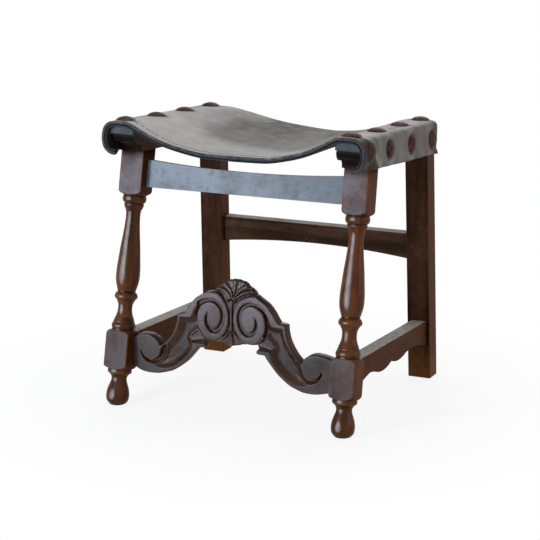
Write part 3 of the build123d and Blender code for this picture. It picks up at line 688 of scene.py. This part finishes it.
def relief(spots):
    """Depth of the carving below its front face at spots of the right half, and how much painted window sheen it
    takes there, partly as polished wood.
    """
    x, z = spots.T
    scroll = spline(SCROLL, 6)
    upper, eye, lower, leaf = (spline(line, 5) for line in (UPPER_RIM, EYE, LOWER_RIM, LEAF_END))
    on_scroll = inside(spots, scroll)
    end_wall = np.vstack([eye, lower[:4]])
    to_scroll, to_upper, to_lower, to_leaf, to_eye, to_end_wall = (
        distance_to_line(spots, line) for line in (scroll, upper, lower, leaf, eye, end_wall))

    # cove between the rims, steep beside the end scroll and the big one
    to_rim = np.minimum(to_upper, to_lower)
    bowl = 1 - (1 - np.clip(to_rim / COVE_REACH, 0, 1)) ** 2
    cove = COVE_DEPTH * bowl * (0.45 + 0.55 * ramp(to_leaf, 0, 12))
    cove -= 2.6 * peak(to_eye, 8.5, 2.2) * ramp(x, 95, 108)
    round_eye = 7.6 * fall(to_eye, 3.5, 8.0) * ramp(to_rim, 0, 2.5)
    by_scroll = 7.5 * fall(to_scroll, 3.0, 11.0) * ramp(z, 128, 138)
    by_wall = np.maximum(round_eye, by_scroll * ramp(to_rim, 0, 6))
    cove_edge = np.vstack([upper, eye, lower, leaf, scroll[scroll[:, 0] > 39][::-1]])
    in_cove = inside(spots, cove_edge) & ~on_scroll
    step = ramp(np.minimum(to_scroll, to_end_wall), 0.0, 1.6)
    depth = np.where(in_cove, np.maximum(cove, by_wall) * step, 0.0)

    # spiral groove, narrow at its tip
    spiral = spline(SPIRAL, 5)
    turns = np.linspace(0, len(SPIRAL) - 1, len(spiral))
    off, half = distance_to_line(spots, spiral, np.interp(turns, range(len(SPIRAL)), SPIRAL_WIDTHS))
    cut = GROOVE_DEPTH * fall(off - half, -1.0, 0.5) * np.clip(half / 2.0, 0.4, 1)
    depth = np.maximum(depth, np.where(x < 58, cut, 0))

    # rounded edges of the scroll's band
    edge = np.minimum(to_scroll, np.maximum(off - half, 0))
    rounded = 1.5 * (1 - np.clip(edge / 3.2, 0, 1)) ** 2
    depth = np.where(on_scroll & (cut < 0.3), np.maximum(depth, rounded), depth)
    # painted sheen, partly polished wood, on the shallow parts, then on the stem, leaves, ribs, facet and tongue
    polish_and_painted_light = fall(depth, 1.0, 3.6)

    # ground between the scrolls, with the stem and the small leaves below it
    middle = (x < 34) & ~on_scroll & ~in_cove & (z < 190)
    ground = GROUND_DEPTH * ramp(to_scroll, 0.0, 1.3)
    stem_half = 2.4 + 1.6 * ramp(z, 172, 185)
    stem = np.sqrt(np.clip(1 - (x / stem_half) ** 2, 0, 1))
    stem *= ramp(188.2 - z, 0, 3) * ramp(z, 135, 139)
    raised = np.maximum(stem, 0.85 * ribs_height(spots, LEAVES))
    depth = np.where(middle, np.maximum(ground - 4.3 * raised, 0.5), depth)
    polish_and_painted_light = np.where(middle, 0.8 * raised, polish_and_painted_light)

    # shell: ribs that spread from above the stem and lean back
    fan_reach = np.hypot(x, z - 186)
    lean = 0.8 + 0.24 * np.maximum(fan_reach - 6, 0)
    rib = ribs_height(spots, RIBS)
    shell = lean + RIB_DEPTH * ramp(fan_reach, 3, 9) * (1 - rib)
    shell = np.maximum(shell, 4.2 * fall(to_scroll, 1.4, 3.2)) * ramp(to_scroll, 0.0, 1.4)
    in_shell = inside(spots, SHELL_REGION) & ~on_scroll & (fan_reach > 4.2) & (z > 183)
    depth = np.where(in_shell, shell, depth)
    polish_and_painted_light = np.where(in_shell, rib * (1 - 0.8 * ramp(fan_reach, 17, 28)), polish_and_painted_light)

    # tongue and facet
    ridge = 121.3 - 0.30 * (x - 46)
    facet = inside(spots, FACET) & ~on_scroll
    below = 4.4 - 1.8 * ramp(z, 112.5, ridge)
    above = 2.6 + 4.8 * ramp(z - ridge, 0, 14)
    depth = np.where(facet, np.where(z < ridge, below, above) * ramp(to_scroll, 0, 1.2), depth)
    polish_and_painted_light = np.where(facet, np.where(z < ridge, 0.0, 0.75), polish_and_painted_light)
    tongue = inside(spots, TONGUE)
    depth = np.where(tongue, 0.5 * ramp(112.2 - z, 0.5, 6), depth)
    return depth, np.where(tongue, 1.0, polish_and_painted_light)


def carving_outline():
    """Whole closed outline, even steps, corners kept."""
    right, corner = [], CARVING_TOP
    for run in CARVING_OUTLINE:
        fine = spline([corner, *run], 12)
        length = lengths(fine)
        steps = max(2, int(round(length[-1] / 0.9)))
        at = np.linspace(0, length[-1], steps + 1)[:-1]
        right.append(np.column_stack([np.interp(at, length, fine[:, k]) for k in (0, 1)]))
        corner = run[-1]
    half = np.vstack([*right, corner])
    return np.vstack([half, half[1:-1][::-1] * (-1, 1)])


def carved_stretcher(material):
    """The carving: a fine triangulated face with its relief, straight sides and a flat back."""
    outline = carving_outline()
    right_outline = outline[outline[:, 0] > -0.01]
    xs = np.arange(-CARVING_END, CARVING_END, CARVING_STEP)
    zs = np.arange(53, 221, CARVING_STEP * 0.87)
    grid = np.array([(x + (j % 2) * CARVING_STEP / 2, z) for j, z in enumerate(zs) for x in xs])
    near = distance_to_line(np.abs(grid), right_outline)
    grid = grid[inside(grid, outline) & (near > 0.45 * CARVING_STEP)]
    flat = [Vector(p) for p in np.vstack([outline, grid])]
    ring = list(range(len(outline)))
    spots, _, triangles, *_ = geometry.delaunay_2d_cdt(flat, [], [ring], 1, 1e-5)
    spots = np.array([tuple(p) for p in spots])
    x, z = spots.T
    depth, polish_and_painted_light = relief(np.abs(spots))
    border = distance_to_line(np.abs(spots), right_outline)
    depth += 1.3 * (1 - np.clip(border / 2.2, 0, 1)) ** 2
    depth += 0.12 * np.sin(x * 0.9 + 2 * np.sin(z * 0.31)) * np.sin(z * 0.83)
    front = np.column_stack([x + drift(x, z), CARVING_FACE_Y + np.maximum(depth, 0),
                             z - 1.7 * ramp(z, 196, 218)])
    back = front * (1, 0, 1) + (0, CARVING_FACE_Y + CARVING_THICKNESS, 0)
    size = len(spots)
    faces = [tuple(t) for t in triangles] + [tuple(i + size for i in t[::-1]) for t in triangles]
    edges = [(a, b) for t in triangles for a, b in zip(t, t[1:] + t[:1])]
    inner = set(edges)
    faces += [(b, a, a + size, b + size) for a, b in edges if (b, a) not in inner]
    piece = add_mesh("carved_stretcher", np.vstack([front, back]), faces, material)
    turn_outwards(piece, crease=50)

    # ridges lighter, partly worn and partly a painted highlight, and hollows darker, partly grime and partly
    # painted shade, from each point's depth against its neighbours'
    links = np.array(edges + [(b, a) for a, b in edges])

    def round_about(values):
        total, count = np.zeros(size), np.zeros(size)
        np.add.at(total, links[:, 0], values[links[:, 1]])
        np.add.at(count, links[:, 0], 1)
        return total / np.maximum(count, 1)

    proud = round_about(round_about(depth)) - depth
    store(piece, "wear_and_glint", round_about(ramp(proud, 0.15, 0.55)), 0)
    store(piece, "dirt_and_shade", round_about(ramp(-proud, 0.12, 0.6)), 0)
    # where the painted window sheen lies on the carving
    store(piece, "flat", round_about(polish_and_painted_light), 0)
    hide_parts("front_stretcher")


carved_stretcher(carved_oak)

# Seat
FRONT_LINE = [(0, 408.8), (45, 409.8), (66, 412.1), (90, 417.3), (107, 421.8), (126, 428.3), (149, 439.3),
              (164, 447.2), (172, 451.3), (178, 453.2), (190, 453.2)]
BACK_LINE = [(-190, 438.6), (-178, 438.6), (-168, 438.5), (-150, 437.3), (-125, 433), (-100, 428), (-80, 423.5),
             (-57, 419.5), (-35, 416.5), (-13, 414), (8, 412), (30, 410.5), (45, 410.5), (75, 413), (100, 418),
             (125, 425.5), (150, 434.5), (168, 438.2), (178, 438.6), (190, 438.6)]
FRONT_EDGE = [(0, 28), (45, 26.5), (90, 22), (130, 16.5), (165, 12), (176, 11), (200, 11), (220, 11)]
BACK_EDGE = [(0, 341), (90, 342), (165, 344), (190, 344), (204, 341), (213, 337), (220, 336)]
FLAP_EDGE = [(10, 404.5), (30, 404), (80, 401.4), (190, 393.7), (300, 387.7), (350, 384.6)]
# Outside of the right flap, X and the drop below the seat's crest: at the front edge, where it curls in,
# and behind
FRONT_FLAP = [(178, 0), (190, 0), (200, 0.2), (208.4, 2.4), (214.4, 7.2), (217.8, 14), (219.2, 22),
              (219.2, 30.5), (217.2, 38.5), (212.6, 44.6), (206, 48.6), (199, 49.9)]
SIDE_FLAP = [(178, 0), (190, 0), (201, 0), (208.5, 0), (213.4, 1.5), (216.6, 4.8),
             *((217.5, drop) for drop in (9.5, 17, 25, 33, 41, 49))]
# How dark the leather is, partly worn by hands and partly painted shade, from the left flap across to the right
# flap
HANDLED_AND_SHADED = ([-222, -212, -196, -178, -120, -80, -20, 70, 130, 178, 200, 214, 222],
           [0.66, 0.5, 0.02, 0.0, 0.16, 0.78, 0.78, 0.66, 0.38, 0.10, 0.12, 0.62, 0.64])
# The leather's rows through its hem, its rows and columns elsewhere, and the samples along each row
HEM_ROWS = [11, 12, 13, 13.6, 14.2, 14.8, 15.4, 16, 17, 18, 19, 20, 20.8, 21.4, 22, 22.6, 23.2, 24]
SEAT_ROWS, SEAT_COLUMNS, SEAT_SAMPLES = 118, 221, 1201
# Rounded edges: places across them, and how far and how deep they are cut away
EDGE_PLACES = np.array([0, 0.18, 0.6, 1.35, 2.4])
EDGE_REACH = 1.6
EDGE_DROP = 1.25
# Thread along the hem: its stitches, the share of them that is lost, and the rings and sides of each
STITCH_PITCH = 4.9
STITCH_HALF = 1.5
STITCH_INSET = 2.2
STITCHES_REACH = 203
STITCHES_LOST = 0.06
RINGS, SIDES = 7, 8


def rail_top(y):
    """Height of the rails' top at a distance back."""
    return RAIL_TOP_FRONT - (y - RAIL_FRONT_Y) * math.tan(RAIL_SLOPE)


def nail_places(side, flap):
    """Where a row of nails sits on the leather, on one rail's top or on its flap. The first is on the hem too."""
    places = []
    for back, down in SIDE_NAILS if flap else TOP_NAILS:
        lift = SEAT_STACK if places else SEAT_STACK + HEM_THICKNESS
        x, rise = (RAIL_OUTER + lift, -down * RAIL_HEIGHT) if flap else (TOP_NAIL_X, lift)
        corner = np.array([side * x, RAIL_FRONT_Y, RAIL_TOP_FRONT])
        places.append(corner + back * RAIL_LENGTH * RAIL_BACK + rise * RAIL_UP)
    return places


def seat_row(t):
    """One line across the seat's outside, from the right flap's edge to the left one's, t of the way back."""
    y_rail = SEAT_FRONT_Y + SEAT_DEPTH * t
    crest = rail_top(y_rail) + SEAT_STACK
    behind = ramp(y_rail, 15, 62)
    flap = np.array(FRONT_FLAP) * (1 - behind) + np.array(SIDE_FLAP) * behind
    flap[:, 1] = crest - flap[:, 1]
    low = curve_at(FLAP_EDGE, y_rail)
    flap[-5:, 1] += (low - flap[-1, 1]) * np.linspace(0.2, 1, 5) * behind
    right_half = spline(flap[::-1], 8)
    across = np.linspace(178, -178, 119)[1:-1]
    sag = curve_at(FRONT_LINE, np.abs(across)) * (1 - t) + curve_at(BACK_LINE, across) * t
    return np.vstack([right_half, np.column_stack([across, sag]), right_half[::-1] * (-1, 1)])


def edge_steps(count, length):
    """Even places along a length with closer ones near both ends, so that the edges can be rounded."""
    near = EDGE_PLACES
    middle = np.linspace(near[-1] + 1.2, length - near[-1] - 1.2, count)
    return np.concatenate([near, middle, length - near[::-1]])


def seat_grid():
    """Points of the leather's outside in rows from the front, their normals and how far back they are."""
    rows = edge_steps(SEAT_ROWS, SEAT_DEPTH)
    rows = np.sort(np.concatenate([rows[(rows < 10) | (rows > 80)], HEM_ROWS, np.arange(25.2, 80, 1.3)]))
    outer = []
    for t in rows / SEAT_DEPTH:
        section = seat_row(t)
        length = lengths(section)
        even = np.linspace(0, length[-1], SEAT_SAMPLES)
        at = edge_steps(SEAT_COLUMNS, length[-1])
        x, z = (np.interp(at, even, np.interp(even, length, section[:, k])) for k in (0, 1))
        y_front, y_back = curve_at(FRONT_EDGE, np.abs(x)), curve_at(BACK_EDGE, np.abs(x))
        outer.append(np.column_stack([x, y_front + (y_back - y_front) * t, z]))
    outer = np.array(outer)
    normal = np.cross(np.gradient(outer, axis=0), np.gradient(outer, axis=1))
    normal /= np.linalg.norm(normal, axis=2, keepdims=True)
    return outer, normal, rows[:, None] * np.ones(outer.shape[1])


def hem_width(x, z):
    """Width of the doubled band along the front edge, which broadens down the flaps."""
    x = np.abs(x)
    down = np.clip((452 - z) / 46, 0, 1) * ramp(x, 205, 214)
    return 14.5 + 7.0 * ramp(x, 90, 185) + 7.5 * ramp(x, 196, 213) + 32 * down


def wrinkles(x, y, z):
    """Soft unevenness of the hide: gentle waves on the seat and puckers on the flaps."""
    on_flap = ramp(np.abs(x), 209, 216)
    flap_wave = np.sin(y / 9.5 + 1.2 * np.sin(z / 13)) * np.sin(y / 31 + 0.8) * ramp(y, 60, 90)
    seat_wave = 0.35 * np.sin(x / 37 + 1.1) * np.sin(y / 45 + 0.4) * fall(np.abs(x), 150, 178)
    bulge = 1.9 * peak(y + 0.25 * (z - 400), 80, 8) * ramp(y, 50, 72)
    height = on_flap * (flap_wave + bulge) + (1 - on_flap) * seat_wave
    for _, side in HANDS:
        for nail_x, nail_y, _ in nail_places(side, flap=False)[1:]:
            height -= 0.9 * peak(y, nail_y - 2, 3.2) * peak(x, nail_x - side * 20, 8)
    return height


def nail_shade(outer):
    """Painted shade round the nails, and painted shadow in the creases beside them."""
    x, y = outer[:, :, 0], outer[:, :, 1]
    shade = np.zeros(x.shape)
    for _, side in HANDS:
        for flap, reach in ((False, 21), (True, 22)):
            for place in nail_places(side, flap):
                away = np.linalg.norm(outer - place, axis=2)
                shade = np.maximum(shade, 0.8 * fall(away, 15, reach))
    for nail_x, nail_y, _ in nail_places(-1, flap=False):
        shade = np.maximum(shade, peak(y, nail_y - 2, 2.0) * peak(x, nail_x + 19, 6))
    return shade


def handling_and_shade(x, run, past_seam, on_flap):
    """How dark the leather is, partly worn by hands and sitters and partly painted shade, with painted light and
    shade along the flap's puckers and a pale line beside the seam that is a painted highlight.
    """
    uneven = (1 - on_flap) * (13 * np.sin(run / 44 - 2.6) + 7 * np.sin(run / 17 + x / 60))
    # the front of the seat kept pale: painted sheen
    front_share = fall(past_seam + 1.3 * uneven + 12 * np.sin(x / 38), 18, 132)
    amount = np.interp(x + uneven, *HANDLED_AND_SHADED) * (1 - 0.95 * front_share * (1 - on_flap))
    amount *= 1 + 0.2 * ramp(run, 150, 300)
    rear_left = ramp(x + uneven, -185, -140) * fall(x, -120, -70)
    amount += 0.36 * ramp(run, 130, 270) * rear_left
    # painted light and shade along the flap's puckers, and a painted highlight on the bulge beside the seam
    painted_pucker_shading = 0.16 * np.sin(run / 9.5 + 1.4) * np.sin(run / 31 + 0.8)
    return np.clip(amount + on_flap * (painted_pucker_shading - 0.4 * peak(past_seam, 7, 5)), 0, 0.9)


def seat_layer(grid, name, inset, thickness, hem, trim, material, node):
    """One layer of the seat as a closed sheet with rounded edges, and the points of its outside.

    inset is how far its outside lies below the leather's, trim how far its front and back edges are drawn in.
    """
    outer, normal, run = grid
    x, y, z = np.moveaxis(outer, 2, 0)
    past_seam = run - hem_width(x, z)
    cover = np.zeros(run.shape)
    if hem:
        cover = HEM_THICKNESS * fall(past_seam, -0.9, 0.5) - 0.35 * peak(past_seam, 0.8, 0.9)
        cover += wrinkles(x, y, z)
    girth = np.array([lengths(row) for row in outer])
    border = np.minimum.reduce([run, SEAT_DEPTH - run, girth, girth[:, -1:] - girth])
    rounding = EDGE_DROP * (1 - np.sqrt(1 - (1 - np.clip(border / EDGE_REACH, 0, 1)) ** 2))
    pull = trim * (ramp(SEAT_DEPTH - run, 0, 6) - ramp(run, 0, 6))
    # the right flap's rear corner turns up a little
    curl = 3.2 * ramp(run, 322, 334) * ramp(x, 216, 217.4) * ramp(-z, -396, -386)
    moved = outer + np.stack([curl, pull, np.zeros(run.shape)], axis=2)
    top = moved + normal * (cover - inset - rounding)[:, :, None]
    bottom = moved - normal * (inset + thickness - rounding)[:, :, None]

    size = run.size
    index = np.arange(size).reshape(run.shape)
    corners = np.stack([index[:-1, :-1], index[:-1, 1:], index[1:, 1:], index[1:, :-1]], axis=2)
    faces = []
    for quad in corners.reshape(-1, 4).tolist():
        faces += [tuple(quad), tuple(k + size for k in quad[::-1])]
    rim = np.concatenate([index[0], index[1:, -1], index[-1, -2::-1], index[-2:0:-1, 0]]).tolist()
    faces += [(b, a, a + size, b + size) for a, b in zip(rim, rim[1:] + rim[:1])]
    piece = add_mesh(name, np.vstack([top.reshape(-1, 3), bottom.reshape(-1, 3)]), faces, material)
    turn_outwards(piece)

    on_flap = ramp(x, 195, 205)
    cut_edge = fall(border, 1.0, 2.2)
    store(piece, "rim", cut_edge, fall(border, 2, 5))
    store(piece, "under", np.zeros(size), 1)
    store(piece, "shade", nail_shade(outer), 0)
    store(piece, "band", on_flap * fall(past_seam, -0.8, 0.8), 0)
    store(piece, "hem", fall(past_seam, -3, 8) * (1 - cut_edge) * (1 - on_flap), 0)
    # darkening, partly worn by hands and partly painted shade
    store(piece, "polish_and_painted_light", handling_and_shade(x, run, past_seam, on_flap), 0)
    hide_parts(node)
    return piece, top


def hem_stitches(top, grid, material):
    """Dark thread along the doubled front band, one short stitch after another."""
    _, normal, run = grid
    lines = np.concatenate([top, normal], axis=2)
    places = []
    for j in range(top.shape[1]):
        at = hem_width(top[10, j, 0], top[10, j, 2]) - STITCH_INSET
        places.append([np.interp(at, run[:, j], lines[:, j, k]) for k in range(6)])
    places = np.array(places)
    length = lengths(places[:, :3])
    points, faces = [], []
    for at in np.arange(4, length[-1] - 4, STITCH_PITCH):
        mid, here, there = (np.array([np.interp(at + off, length, column) for column in places.T])
                            for off in (0, -STITCH_HALF, STITCH_HALF))
        if rng.uniform() < STITCHES_LOST or abs(mid[0]) > STITCHES_REACH:
            continue
        middle, out = (here + there)[:3] / 2, (here + there)[3:] / 2
        along = (there - here)[:3] / 2
        side = np.cross(out, along / np.linalg.norm(along))
        first = len(points)
        for u in np.linspace(-1, 1, RINGS):
            thick = 0.15 + 0.42 * math.sqrt(1 - u * u)
            for k in range(SIDES):
                angle = 2 * math.pi * k / SIDES
                lift = 0.05 + thick * math.sin(angle) + 0.18 * (1 - u * u)
                points.append(middle + along * u + side * thick * 1.2 * math.cos(angle) + out * lift)
        faces += tube(RINGS, SIDES, first)
        faces += [tuple(range(first, first + SIDES))[::-1], tuple(range(len(points) - SIDES, len(points)))]
    return add_mesh("hem_stitches", points, faces, material)


grid = seat_grid()
top_layer, top_points = seat_layer(grid, "seat_hide", 0.0, LEATHER_THICKNESS, True, 0.0, leather,
                                   "seat_leather")
under_layer, _ = seat_layer(grid, "seat_lining_hide", LEATHER_THICKNESS + LINING_GAP, LINING_THICKNESS, False,
                            0.6, lining, "seat_lining")
stitches = hem_stitches(top_points, grid, thread)

# Nails: the dome's profile, as shares of its radius and height, and its steps round
DOME = [(0.12, 0.99), (0.26, 0.955), (0.42, 0.88), (0.57, 0.775), (0.7, 0.64), (0.81, 0.49), (0.9, 0.32),
        (0.955, 0.19), (0.985, 0.115), (1.0, 0.06), (0.995, 0.0), (0.93, -0.06)]
DOME_STEPS = 40


def nail_head(centre, normal):
    """Points and faces of one domed head with a thin rim, dented by use."""
    side = np.cross(normal, RAIL_BACK)
    points = [centre + normal * NAIL_HEIGHT]
    dents = rng.uniform(-1, 1, (6, 3))
    for reach, rise in DOME:
        for k in range(DOME_STEPS):
            angle = 2 * math.pi * k / DOME_STEPS
            u, v = reach * math.cos(angle), reach * math.sin(angle)
            dent = sum(0.28 * d[2] * math.exp(-((u - d[0]) ** 2 + (v - d[1]) ** 2) / 0.12) for d in dents)
            dent *= 1 - reach**4
            flat = centre + NAIL_RADIUS * (u * RAIL_BACK + v * side)
            points.append(flat + normal * (rise * NAIL_HEIGHT + dent))
    faces = [(0, 1 + k, 1 + (k + 1) % DOME_STEPS) for k in range(DOME_STEPS)]
    faces += [(a, d, c, b) for a, b, c, d in tube(len(DOME), DOME_STEPS, 1)]
    faces.append(tuple(range(len(points) - 1, len(points) - DOME_STEPS - 1, -1)))
    return points, faces


def nails(name, places, normal, material, node):
    """A row of nail heads as one piece."""
    points, faces = [], []
    for centre in places:
        head, sides = nail_head(centre, np.array(normal, float))
        faces += [tuple(i + len(points) for i in face) for face in sides]
        points += head
    piece = add_mesh(name, points, faces, material)
    turn_outwards(piece)
    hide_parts(node)


for hand, side in HANDS:
    nails(f"{hand}_rail_nail_heads", nail_places(side, False), RAIL_UP, brass, f"{hand}_top_nails")
    nails(f"{hand}_flap_nail_heads", nail_places(side, True), (side, 0, 0), brass, f"{hand}_side_nails")

# CAD pieces that keep their own shape, welded, with their flat faces joined and their edges worn round
WORN = {
    "WELD": {"merge_threshold": 0.00002},
    "DECIMATE": {"decimate_type": "DISSOLVE", "angle_limit": math.radians(0.6)},
    "BEVEL": {"width": 0.0013, "segments": 3, "limit_method": "ANGLE", "angle_limit": math.radians(40),
              "harden_normals": True},
}
for name, material in NODE_MATERIALS.items():
    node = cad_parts[name]
    node.data.materials.clear()
    node.data.materials.append(material)
    for kind, settings in WORN.items():
        modifier = node.modifiers.new(kind.lower(), kind)
        for setting, value in settings.items():
            setattr(modifier, setting, value)

# Floor: pale near the stool, where it keeps the shadow, and white further out
floor_mesh = bpy.data.meshes.new("floor")
floor_mesh.from_pydata([(-6, -6, 0), (6, -6, 0), (6, 6, 0), (-6, 6, 0)], [], [(0, 1, 2, 3)])
floor = add_object("floor", floor_mesh)
floor_look = Shading("pale_floor")
reach = floor_look.new("VectorMath")
reach.operation = "LENGTH"
clear = floor_look.remap(floor_look.wire(reach, floor_look.place)["Value"], 0.30, 0.62, 0.86, 1.0)
floor_look.wire(floor_look.shader, Base_Color=(0.82, 0.82, 0.82), Roughness=0.8)
blend = floor_look.add("MixShader", floor_look.times(clear, floor_look.seen()), floor_look.shader.outputs[0],
                       floor_look.add("Emission")[0])
floor_look.wire(floor_look.tree.nodes["Material Output"], Surface=blend[0])
floor_mesh.materials.append(floor_look.material)


# Light
def area_light(name, place, target, size, power, colour):
    """Soft rectangular lamp that points at a target."""
    data = bpy.data.lights.new(name, "AREA")
    data.shape = "RECTANGLE"
    data.size, data.size_y = size
    data.energy = power
    data.color = colour
    lamp = add_object(name, data)
    lamp.location = place
    lamp.rotation_euler = (Vector(target) - Vector(place)).to_track_quat("-Z", "Y").to_euler()


area_light("window", (-0.96, -2.1, 0.72), (0, 0, 0.28), (0.5, 1.35), 42, (0.90, 0.96, 1.0))
area_light("warm_side", (2.6, 0.3, 1.0), (0, 0, 0.25), (1.2, 1.4), 22, (1.0, 0.86, 0.72))
area_light("back", (-0.35, 2.7, 1.9), (0, 0, 0.35), (1.7, 0.9), 20, (1.0, 0.99, 0.97))
area_light("top", (-0.2, 0.6, 2.8), (0, 0, 0.3), (2.0, 1.6), 30, (1.0, 0.99, 0.97))

world = bpy.data.worlds.new("studio")
world.use_nodes = True
bpy.context.scene.world = world
studio = Nodes(world.node_tree)
studio.tree.nodes.clear()
lit = studio.add("Background", Color=(0.9, 0.93, 1.0), Strength=0.35)[0]
white = studio.add("Background", Color=(1, 1, 1), Strength=1.0)[0]
studio.add("OutputWorld", Surface=studio.add("MixShader", studio.seen(), lit, white)[0])

# Camera, solved from the photograph
YAW, PITCH, ROLL = math.radians(24.68), math.radians(13.22), 0.00298
camera_data = bpy.data.cameras.new("camera")
camera_data.lens = 119.607
camera_data.sensor_width = 36
camera = add_object("camera", camera_data)
place = Matrix.Translation((1.1775, -2.4010 + FRONT_Y / 1000, 0.8678))
turns = [(YAW, "Z"), (math.pi / 2 - PITCH, "X"), (ROLL, "Z")]
yaw, tilt, roll = (Matrix.Rotation(angle, 4, axis) for angle, axis in turns)
camera.matrix_world = place @ yaw @ tilt @ roll
bpy.context.scene.camera = camera
bpy.context.scene.view_settings.view_transform = "Standard"
